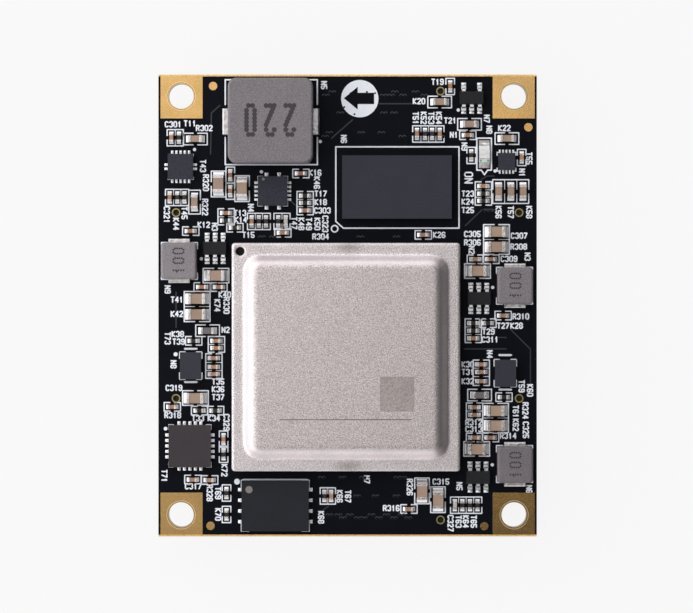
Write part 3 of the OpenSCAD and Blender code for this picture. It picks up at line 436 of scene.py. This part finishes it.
outline_width = 0.17
for run in (
    [(-14.55, 23.9), (-14.55, 26.85), (-3.6, 26.85), (-3.6, 23.9)],
    [(-14.55, 20.0), (-14.55, 16.75), (-3.6, 16.75), (-3.6, 20.0)],
    [(-0.5, 9.2), (13.25, 9.2), (13.25, 18.87), (-1.4, 18.87), (-1.4, 10.0), (-0.5, 9.2)],
    [(-12.4, -20.7), (-4.8, -20.7)],
    [(15.9, 16.1), (15.37, 16.1), (15.37, 19.9), (17.1, 19.9), (17.1, 16.1), (16.65, 16.1)],
    [(15.9, 16.1), (16.28, 15.55), (16.65, 16.1)],
):
    ink.line(run, outline_width)
for x, y in ((-18.65, -5.15), (-18.65, -9.1), (18.75, -5.9), (18.75, -10.0)):
    ink.line([(x - 0.7, y), (x + 0.7, y)], 0.24)
ink.ring(-1.54, 9.13, 0.93, 0.6)
for x, y, diameter in (
    (-3.25, 19.5, 0.4),
    (-13.15, -20.95, 0.7),
    (-18.2, 18.55, 0.4),
    (-10.25, 15.9, 0.42),
    (-21.65, -14.65, 0.45),
    (17.55, 16.0, 0.4),
    (-17.4, 5.55, 0.4),
    (17.25, 2.15, 0.4),
    (17.2, -18.95, 0.4),
    (13.15, 23.25, 0.4),
    (-20.45, -5.8, 0.5),
):
    ink.disc(x, y, diameter)

# Round mark with an arrow that points to the first connector, left open in the print.
ink.disc(1.45, 24.6, 4.44, 48)
opening = Sheet(TOP + 0.024, 0.006)
for x, y in ((0.82, 22.75), (3.27, 25.26), (0.36, 25.25), (2.3, 25.4), (-0.4, 23.6)):
    opening.disc(x, y, 0.24, 12)
arrow_tail = [(1.2, 23.95), (3.15, 23.95), (3.15, 25.3), (1.2, 25.3)]
opening.plate([(-0.45, 24.65), (1.2, 23.3), *arrow_tail, (1.2, 26.0)])
opening.piece("arrow_opening", MASK, "board_mask")

# Letters on a grid four wide and six high: each word is one pen stroke of x-y places.
PEN = {
    "0": "10 30 41 45 36 16 05 01 10",
    "1": "14 26 20",
    "2": "05 16 36 45 44 00 40",
    "3": "05 16 36 45 44 33 42 41 30 10 01",
    "4": "30 36 02 42",
    "5": "46 06 03 33 42 41 30 10 01",
    "6": "45 36 16 05 01 10 30 41 42 33 03",
    "7": "06 46 10",
    "8": "13 04 05 16 36 45 44 33 13 02 01 10 30 41 42 33",
    "9": "01 10 30 41 45 36 16 05 04 13 43",
    "C": "45 36 16 05 01 10 30 41",
    "R": "00 06 36 45 44 33 03|23 40",
    "O": "10 30 41 45 36 16 05 01 10",
    "N": "00 06 40 46",
    "K": "00 06|46 03 40",
    "T": "06 46|26 20",
}


def strokes(text, x, y, turn, height, narrow=0.82, advance=6.1):
    """Pen strokes of a text centred on a place and turned by degrees."""
    unit = height / 6
    c, s = math.cos(math.radians(turn)), math.sin(math.radians(turn))
    for i, letter in enumerate(text):
        shift = (i - (len(text) - 1) / 2) * advance
        for word in PEN[letter].split("|"):
            grid = [(int(across), int(up)) for across, up in word.split()]
            spots = [((a - 2 + shift) * unit * narrow, (b - 3) * unit) for a, b in grid]
            yield [(x + c * u - s * v, y + s * u + c * v) for u, v in spots]


# Places of the part numbers, each with its count of letters; the turned ones read downwards.
LEVEL_LABELS = """
-20.75,21.55,4 -18.75,21.65,3 -17.05,21.1,4 -17.1,9.6,3 -12.8,11.0,3 -12.7,10.2,3 -11.8,8.4,3
-3.85,15.8,3 -3.2,13.3,3 -3.2,12.3,3 -3.0,11.3,4 -3.2,8.2,4 10.7,26.6,3 8.5,24.3,3 12.2,22.0,3
12.65,20.3,2 18.65,21.1,3 14.3,13.3,3 14.3,12.35,3 14.3,11.35,3 10.9,8.4,3 14.85,8.5,4 14.85,7.5,4
20.4,8.3,4 20.35,7.0,4 19.2,5.55,4 20.6,-1.3,4 18.5,-2.4,3 20.1,-2.4,3 16.75,-3.1,3 16.95,-4.05,4
14.3,-7.0,3 14.3,-7.9,3 14.3,-9.0,3 15.0,-13.9,4 15.0,-14.7,4 19.1,-15.5,4 11.1,-20.95,4 5.2,-24.1,4
-18.35,-21.5,4 -17.8,-13.4,3 -15.9,-13.4,3 -20.8,-13.05,4 -20.65,-9.8,4 -15.4,-9.05,3 -15.4,-9.95,3
-15.4,-10.9,3 -20.2,-3.4,3 -20.1,-4.3,3 -14.5,-2.9,2 -14.6,1.3,3 -20.3,0.7,3 -20.3,-1.0,3
"""
TURNED_LABELS = """
-17.2,16.6,3 -16.85,14.6,4 -21.5,10.8,4 -20.4,9.7,3 -19.4,11.0,3 -16.95,11.7,4 -15.8,9.35,2
-11.5,11.6,2 -3.65,14.6,3 -6.35,9.8,3 -5.5,9.7,3 -4.6,9.7,3 -3.6,9.7,3 -2.65,9.7,4 -2.8,26.2,2
-0.45,19.8,2 8.1,22.3,3 9.05,22.3,3 9.95,22.3,3 10.85,22.3,3 16.55,22.2,2 16.85,20.9,2 13.9,18.9,2
21.6,17.5,3 20.75,15.8,2 17.95,11.1,3 19.4,11.1,3 21.6,11.1,3 14.75,6.6,2 21.4,5.8,2 16.9,-5.8,2
20.7,-9.6,3 21.7,-10.1,3 20.0,-12.6,3 20.0,-14.2,3 21.15,-12.5,4 21.2,-14.8,4 13.3,-21.5,2
21.6,-21.85,2 7.4,-21.6,4 12.25,-25.9,4 13.2,-25.7,3 14.05,-25.7,3 15.0,-25.7,3 2.3,-20.7,2
-0.95,-22.7,3 0.05,-22.7,3 -3.15,-25.2,3 -15.4,-22.3,3 -15.4,-24.85,3 -16.4,-22.3,4 -21.8,-20.25,3
-14.4,-13.9,4 -14.65,-19.6,3 -21.4,-3.9,3 -20.7,-7.0,2 -15.5,0.0,3 -14.4,0.0,4 -21.4,1.9,2
"""
label_height, pen_width = 0.61, 0.16
next_number = {2: 1, 3: 11, 4: 301}
for listing, turn in ((LEVEL_LABELS, 0), (TURNED_LABELS, -90)):
    for spot in listing.split():
        x, y, letters = (float(v) for v in spot.split(","))
        number = next_number[letters]
        next_number[letters] = number + 1 if number != 9 else 1
        kind = {2: "NN", 3: "KT", 4: "RC"}[letters][number % 2]
        for run in strokes(f"{kind}{number}", x, y, turn, label_height):
            ink.line(run, pen_width, 2)
for run in strokes("ON", 14.4, 15.2, -90, 0.9):
    ink.line(run, outline_width, 2)
ink.piece("white_print", WHITE, "lamp_white")

# The underside is printed the same way: frames round the capacitors, and an outline and a corner
# mark for each connector, kept inside the edge of the board.
room, margin = 0.9, 0.3
board_low, board_high = (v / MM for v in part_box("circuit_board"))
under = Sheet(board_low.z - 0.025, 0.025)
frame_chips(under, ["underside_capacitor_bodies"], 0.50, 0.29)
for side in ("north", "south", "west", "east"):
    low, high = (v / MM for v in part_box(f"connector_{side}"))
    west = max(low.x - room, board_low.x + margin)
    east = min(high.x + room, board_high.x - margin)
    south = max(low.y - room, board_low.y + margin)
    north = min(high.y + room, board_high.y - margin)
    under.line([(west, south), (east, south), (east, north), (west, north), (west, south)], 0.15)
    if east - west > north - south:
        under.plate([(west - 0.85, south), (west - 0.25, south), (west - 0.25, south + 0.6)])
    else:
        under.plate([(west, south - 0.85), (west + 0.6, south - 0.25), (west, south - 0.25)])
under.piece("underside_print", WHITE, "lamp_white")


# Gold pads: copper with a thin gold finish, left free of mask round the screw holes, at the
# alignment dots and round the peg holes. Round each screw hole a pale ring is a painted highlight
# where the rounded plating would shine, and a dark ring just inside it is painted shade.
GOLD = finish("gold", srgb(214, 173, 110), 0.17, 1.0, size=7000, grain=0.45, patches=0.3, relief=4.5)
RING_GOLD = finish("ring_gold", srgb(178, 162, 112), 0.4, 1.0, size=9000, grain=0.3, patches=0.3,
                   relief=6)
paint(GOLD, "corner_lands", "fiducials")
paint(RING_GOLD, "peg_hole_rings")
land_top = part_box("corner_lands")[1].z / MM
highlight_rims, inner = Sheet(land_top, 0.008), Sheet(land_top, 0.004)
hole_x, hole_y = 19.8, 24.9
rim_outer, rim_inner, lip_inner = 3.44, 3.3, 3.2
for x in (-hole_x, hole_x):
    for y in (-hole_y, hole_y):
        highlight_rims.ring(x, y, rim_outer, rim_inner, 40)
        inner.ring(x, y, rim_inner, lip_inner, 40)
# Pale ring at the rim of each screw hole: painted highlight. Dark ring inside it: painted shade.
RIM_HIGHLIGHT = finish("painted_rim_highlight", srgb(250, 226, 178), 0.35, 1.0, size=9000, relief=6)
LIP_SHADE = finish("painted_lip_shade", srgb(150, 114, 62), 0.5, 1.0, size=9000, relief=6)
highlight_rims.piece("painted_hole_rim_highlights", RIM_HIGHLIGHT, "gold")
inner.piece("painted_hole_lip_shade", LIP_SHADE, "gold")


# Board-to-board connectors: housings moulded from black heat-proof plastic, with pegs that stand in
# holes of the board. Their two rows of contacts are stamped from copper strip and gold-plated.
HOUSING = finish("connector_plastic", srgb(27, 26, 26), 0.45, grain=0.15, relief=2.4)
CONTACT = finish("contact_gold", srgb(222, 184, 116), 0.28, 1.0, grain=0.1)
paint(HOUSING, "connector_north", "connector_south", "connector_west", "connector_east")
paint(CONTACT, "contacts_north", "contacts_south", "contacts_west", "contacts_east")


# Processor: silicon die on a green-black laminate with solder balls below, under a stamped lid.
# The lid is nickel-plated copper, blasted to a fine matt grain, glued on with a black bead.
TIN = finish("tin", srgb(240, 240, 243), 0.28, 1.0, size=5000, grain=0.15, patches=0.2, relief=7.5)
LAMINATE = finish("laminate", srgb(18, 27, 24), 0.5, grain=0.2, gloss=0.2)
NICKEL = finish("lid_nickel", srgb(213, 202, 202), 0.46, 1.0, size=8200, grain=2.3, patches=0.05,
                relief=12, edge=0.5)
paint(TIN, "processor_balls")
paint(LAMINATE, "processor_substrate")
paint(finish("silicon", srgb(80, 82, 92), 0.2, 0.4, grain=0.05), "processor_die")
paint(finish("paste", srgb(160, 160, 155), 0.7, grain=0.2), "thermal_paste")
paint(finish("adhesive", srgb(28, 28, 28), 0.6, grain=0.2), "lid_adhesive")
paint(NICKEL, "processor_lid")


def slope_mask(tree, level, steep):
    """Mask that goes from 0 on level faces to 1 on steep ones, by the height of the face's normal."""
    axes = face_axes(tree)
    slope = tree.nodes.new("ShaderNodeMapRange")
    slope.inputs["From Min"].default_value = level
    slope.inputs["From Max"].default_value = steep
    join(tree, (axes, "Z"), (slope, "Value"))
    return slope


# The drawn flanks are stretched in the press, so the blasted grain is finer there.
tree = NICKEL.node_tree
slope = slope_mask(tree, 0.99, 0.92)
mix_in(NICKEL, (slope, 0), (grained(tree, srgb(215, 205, 207), 8200, 0.7), "Colour"))

# The flange is painted a little lighter than the crown: a painted sheen.
flange_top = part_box("processor_lid")[0].z + 0.75 * MM
place = tree.nodes.new("ShaderNodeTexCoord")
level = tree.nodes.new("ShaderNodeSeparateXYZ")
join(tree, (place, "Object"), (level, 0))
flange_sheen = add_math(tree, "LESS_THAN", (level, "Z"), flange_top)
mix_in(NICKEL, (flange_sheen, 0), (grained(tree, srgb(222, 213, 214), 8200, 2.0), "Colour"))


def soft_spot(mat, colour, x, y, reach_x, reach_y, amount, grain=2.3):
    """Fading spot of another colour at a place of the board, in millimetres."""
    tree = mat.node_tree
    place = tree.nodes.new("ShaderNodeTexCoord")
    shift = tree.nodes.new("ShaderNodeMapping")
    shift.inputs["Location"].default_value = (-x / reach_x, -y / reach_y, 0)
    shift.inputs["Scale"].default_value = (1 / (reach_x * MM), 1 / (reach_y * MM), 0)
    fade = tree.nodes.new("ShaderNodeTexGradient")
    fade.gradient_type = "SPHERICAL"
    join(tree, (place, "Object"), (shift, "Vector"))
    join(tree, (shift, 0), (fade, 0))
    mask = add_math(tree, "MULTIPLY", (fade, 1), amount)
    mix_in(mat, (mask, 0), (grained(tree, colour, 8200, grain), "Colour"))


# Marks left by the clamp that pressed the lid on while its adhesive cured.
for y in (6.95, -18.95):
    soft_spot(NICKEL, srgb(136, 126, 120), 0, y, 2.2, 0.9, 0.6)

# Laser marks on the lid: a square field and one long line, darker and duller than the blasted metal.
lid_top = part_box("processor_lid")[1].z / MM
mark_height = 0.004
marks = Sheet(lid_top, mark_height)
marks.plate([(3.8, -12.5), (7.85, -12.5), (7.85, -8.4), (3.8, -8.4)])
ETCHED = finish("etched_nickel", srgb(182, 171, 169), 0.52, 1.0, size=5500, grain=1.2, relief=10)
marks.piece("lid_marks", ETCHED, "lid_nickel")
rule = Sheet(lid_top, mark_height)
rule.line([(-8.0, -13.45), (7.5, -13.45)], 0.12)
DEEP = finish("deep_etched", srgb(138, 127, 123), 0.55, 1.0, size=5500, grain=1.0, relief=10)
rule.piece("lid_rule", DEEP, "lid_nickel")


# Memory: ball-grid package, a thin laminate with a violet-black epoxy moulding over its die.
# It is soldered to the board by the balls under the laminate.
MEMORY = finish("memory_moulding", srgb(49, 49, 59), 0.5, size=8000, grain=1.0, relief=3.6, gloss=0.2)
paint(TIN, "memory_balls")
paint(LAMINATE, "memory_substrate")
paint(MEMORY, "memory_mould")


# Flash, regulators, load switch, converters and supervisor: black epoxy mouldings on tinned leadframes.
# Leadless packages show a row of solder along each side. Small converters have bent leads, and each
# lead is painted dark where it slopes down to the board: painted shade.
MOULD = finish("black_moulding", srgb(49, 50, 60), 0.55, size=8000, grain=1.2, relief=4.5, gloss=0.2)
FLASH = finish("flash_moulding", srgb(31, 33, 39), 0.5, size=8000, grain=1.0, relief=3.6, gloss=0.2)
DARK = finish("dark_moulding", srgb(30, 29, 32), 0.5, size=8000, grain=0.4, relief=5, gloss=0.2)
WARM = finish("warm_moulding", srgb(60, 54, 57), 0.55, size=8000, grain=0.35, relief=6, gloss=0.2)
paint(MOULD, "core_regulator_body", "small_regulator_body", "load_switch_body")
paint(FLASH, "flash_body")
paint(WARM, "large_regulator_body")
paint(DARK, "converter_bodies", "supervisor_body")
paint(TIN, "flash_leads", "large_regulator_leads", "core_regulator_leads", "small_regulator_leads",
      "load_switch_leads")
SHADED_BENT = finish("bent_tin_painted_shade", srgb(240, 240, 243), 0.28, 1.0, size=5000, grain=0.15, relief=7.5)
tree = SHADED_BENT.node_tree
# Faces of the leads that slope down to the board are painted dark: painted shade.
mix_in(SHADED_BENT, (slope_mask(tree, 0.98, 0.85), 0), (grained(tree, srgb(64, 64, 69), 5000, 0.4), "Colour"))
paint(SHADED_BENT, "converter_leads", "supervisor_leads")
SOLDER = finish("solder", srgb(250, 250, 252), 0.34, 0.55, size=3000, grain=0.15, patches=0.1, relief=9)
bead_length, bead_height = 0.42, 0.13
beads = Sheet(TOP, 0)
for package, body in (
    ("large_regulator", "body"),
    ("core_regulator", "body"),
    ("small_regulator", "body"),
    ("load_switch", "body"),
    ("flash", "body"),
    ("supervisor", "body"),
    ("converter", "bodies"),
):
    for low, high in solids(f"{package}_{body}"):
        middle = (low + high) / 2
        for start, end in solids(f"{package}_leads"):
            spot, size = (start + end) / 2, end - start
            for axis in (0, 1):
                reach = abs(spot[axis] - middle[axis]) + size[axis] / 2 - (high - low)[axis] / 2
                beside = abs(spot[1 - axis] - middle[1 - axis]) < (high - low)[1 - axis] / 2
                if beside and 0.2 < reach < 1.5:
                    side = math.copysign(1, spot[axis] - middle[axis])
                    length = min(reach, bead_length)
                    spot[axis] += side * (size[axis] - length) / 2
                    size[axis] = length
                    beads.dome(spot[0], spot[1], size[0], size[1], bead_height)
beads.piece("solder_beads", SOLDER, "tin", smooth=True)
DIMPLE = finish("moulded_dot", srgb(128, 118, 112), 0.6, grain=0.3)
for node, x, y, diameter in (
    ("flash_body", -11.7, -21.85, 0.85),
    ("core_regulator_body", -10.0, 15.0, 0.35),
):
    dot = Sheet(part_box(node)[1].z / MM, 0.004)
    dot.disc(x, y, diameter, 28)
    dot.piece(f"first_pin_{node}", DIMPLE, "black_moulding")


# Oscillators: slate-coloured epoxy mouldings, each over a quartz plate and its chip.
# They stand on four tinned pads that are soldered to the board.
OSCILLATOR = finish("oscillator_moulding", srgb(52, 53, 61), 0.45, grain=0.2, gloss=0.2)
paint(OSCILLATOR, "oscillator_bodies")
paint(TIN, "oscillator_pads")


# Power lamp: white plastic base with folded, silvered ends under a lens cast from milky resin.
# Two green marks on the base tell its poles apart, and the ends are soldered to the board.
paint(finish("lamp_white", srgb(236, 238, 236), 0.5, grain=0.1), "lamp_base")
LENS = finish("lamp_clear", srgb(238, 234, 236), 0.12, size=1800, grain=1.1, relief=40)
LENS.node_tree.nodes["Principled BSDF"].inputs["Transmission Weight"].default_value = 0.2
paint(LENS, "lamp_lens")
SILVER = finish("lamp_silver", srgb(200, 196, 194), 0.3, 1.0, size=2200, grain=1.6, relief=60)
paint(SILVER, "lamp_terminals")
green = Sheet(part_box("lamp_base")[1].z / MM, 0.003)
for x in (15.8, 16.7):
    green.disc(x, 17.2, 0.3, 16)
GREEN = finish("lamp_green", srgb(60, 196, 164), 0.4, grain=0.1)
green.piece("lamp_marks", GREEN, "lamp_clear")


# Inductors: cores pressed from grey metal powder round a copper winding, with folded, tinned
# terminals. The core in the west is painted lighter, and the core in the south-east darker as
# painted shade, where the light falls off. A value code is printed on each core by ink jet, so it
# is made of dots.
CORE = finish("core_powder", srgb(118, 112, 116), 0.62, size=7000, grain=1.6, patches=0.1,
              relief=15, edge=0.15)
# Lighter west core, darker south-east core: the darkening is painted shade.
for shade, x, y in ((srgb(131, 125, 129), -20.0, 5.4), (srgb(107, 101, 105), 20.0, -19.1)):
    soft_spot(CORE, shade, x, y, 8, 8, 4, 1.6)
paint(CORE, "main_inductor_core", "small_inductor_cores")
FOLDED = finish("folded_tin", srgb(206, 202, 202), 0.3, 1.0, size=2200, grain=1.2, patches=0.3,
                relief=60)
paint(FOLDED, "main_inductor_terminals", "small_inductor_terminals")
INK_JET = finish("dark_ink", srgb(58, 51, 55), 0.7, size=9000, grain=0.4)


def value_code(node, code, turn, height, narrow, advance, pitch, dot):
    """Dotted code on the top of each core of a node."""
    for number, (low, high) in enumerate(solids(node)):
        centre = (low + high) / 2
        jet = Sheet(high[2], 0.003)
        for run in strokes(code, centre[0], centre[1], turn, height, narrow, advance):
            for (x0, y0), (x1, y1) in zip(run, run[1:]):
                steps = max(1, round(math.hypot(x1 - x0, y1 - y0) / pitch))
                for i in range(steps + 1):
                    jet.disc(x0 + (x1 - x0) * i / steps, y0 + (y1 - y0) * i / steps, dot, 10)
        jet.piece(f"value_code_{node}_{number}", INK_JET, "core_powder")


value_code("main_inductor_core", "220", 180, 3.4, 0.42, 9.7, 0.42, 0.6)
value_code("small_inductor_cores", "100", 90, 1.2, 0.75, 7.6, 0.3, 0.24)


# Chip parts: ceramic capacitors in tan and brown, black-glazed resistors and grey ferrite beads.
# Their ends are dipped in tin, and solder climbs each end in a bright fillet.
BROWN = finish("ceramic_brown", srgb(168, 122, 93), 0.5, size=7000, grain=0.5, patches=0.6)
TAN = finish("ceramic_tan", srgb(158, 134, 117), 0.5, size=7000, grain=0.5, patches=0.5)
# Pale spot in the middle of two capacitor bodies: a painted highlight.
for x, y in ((-7.35, 10.0), (12.75, -23.75)):
    soft_spot(BROWN, srgb(190, 182, 178), x, y, 1.1, 1.1, 1.4, 0.4)
paint(BROWN, "small_capacitor_bodies", "underside_capacitor_bodies")
paint(TAN, "medium_capacitor_bodies", "large_capacitor_bodies")
paint(finish("resistor_glaze", srgb(30, 28, 30), 0.35, grain=0.15), "resistor_bodies")
paint(finish("ferrite", srgb(104, 100, 104), 0.55, grain=0.2), "bead_bodies")
ENDS = finish("tin_ends", srgb(216, 210, 207), 0.26, 1.0, size=2600, grain=0.4, patches=0.3,
              relief=30, edge=0.1)
paint(ENDS, "small_capacitor_ends", "medium_capacitor_ends", "large_capacitor_ends", "resistor_ends",
      "bead_ends", "underside_capacitor_ends")
paint(SOLDER, "solder_joints")


# Stage: a pale floor that glows like a light table, so that it stays even and the holes show white.
# Large soft lights stand above and beside the module, and the camera looks straight down on it.
floor_drop = 0.05 * MM
bpy.ops.mesh.primitive_plane_add(size=2.0, location=(0, 0, -floor_drop))
floor = bpy.context.object
floor.name = "floor"
PALE = finish("pale_floor", srgb(72, 72, 72), 0.9, grain=0.0, patches=0.0, relief=0)
shader = PALE.node_tree.nodes["Principled BSDF"]
shader.inputs["Specular IOR Level"].default_value = 0.0
shader.inputs["Emission Color"].default_value = (1, 1, 1, 1)
tree = PALE.node_tree
rays = tree.nodes.new("ShaderNodeLightPath")
glow_on_parts, glow_in_view = 0.42, 0.46
seen = add_math(tree, "MULTIPLY", (rays, "Is Camera Ray"), glow_in_view)
glow = add_math(tree, "ADD", (seen, 0), glow_on_parts)
join(tree, (glow, 0), (shader, "Emission Strength"))
floor.data.materials.append(PALE)


def soft_light(name, place, target, width, height, watts):
    """Soft rectangular light that looks at a point."""
    data = bpy.data.lights.new(name, "AREA")
    data.shape = "RECTANGLE"
    data.size, data.size_y, data.energy = width, height, watts
    obj = bpy.data.objects.new(name, data)
    bpy.context.scene.collection.objects.link(obj)
    obj.location = place
    obj.rotation_euler = (Vector(target) - Vector(place)).to_track_quat("-Z", "Y").to_euler()


soft_light("overhead", (-0.235, 0.29, 0.75), (-0.235, 0.29, 0), 0.66, 0.66, 1.45)
soft_light("overhead_west", (-0.41, 0.1, 0.76), (-0.41, 0.1, 0), 0.5, 0.8, 0.75)
soft_light("overhead_southwest", (-0.21, -0.17, 0.75), (-0.21, -0.17, 0), 0.38, 0.26, 0.14)
soft_light("west", (-0.45, -0.02, 0.2), (0, 0, 0), 0.9, 0.4, 2.8)
soft_light("north", (0.0, 0.42, 0.24), (0, 0, 0), 0.6, 0.45, 1.25)
soft_light("south", (-0.05, -0.42, 0.25), (0, 0, 0), 0.6, 0.5, 0.95)
soft_light("south_low", (-0.05, -0.3, 0.045), (0, 0, 0.01), 0.5, 0.08, 0.11)
soft_light("northwest", (-0.44, 0.46, 0.2), (0, 0, 0), 0.3, 0.4, 0.8)

world = bpy.data.worlds.new("studio")
bpy.context.scene.world = world
world.use_nodes = True
background = world.node_tree.nodes["Background"]
background.inputs["Color"].default_value = (1, 1, 1, 1)
background.inputs["Strength"].default_value = 0.06
bpy.context.scene.view_settings.view_transform = "Standard"

camera = bpy.data.objects.new("camera", bpy.data.cameras.new("camera"))
bpy.context.scene.collection.objects.link(camera)
camera.location = (-0.00013, -0.00012, 0.3446)
camera.data.lens = 148.5
camera.data.sensor_width = 36
camera.data.clip_start = 0.01
bpy.context.scene.camera = camera
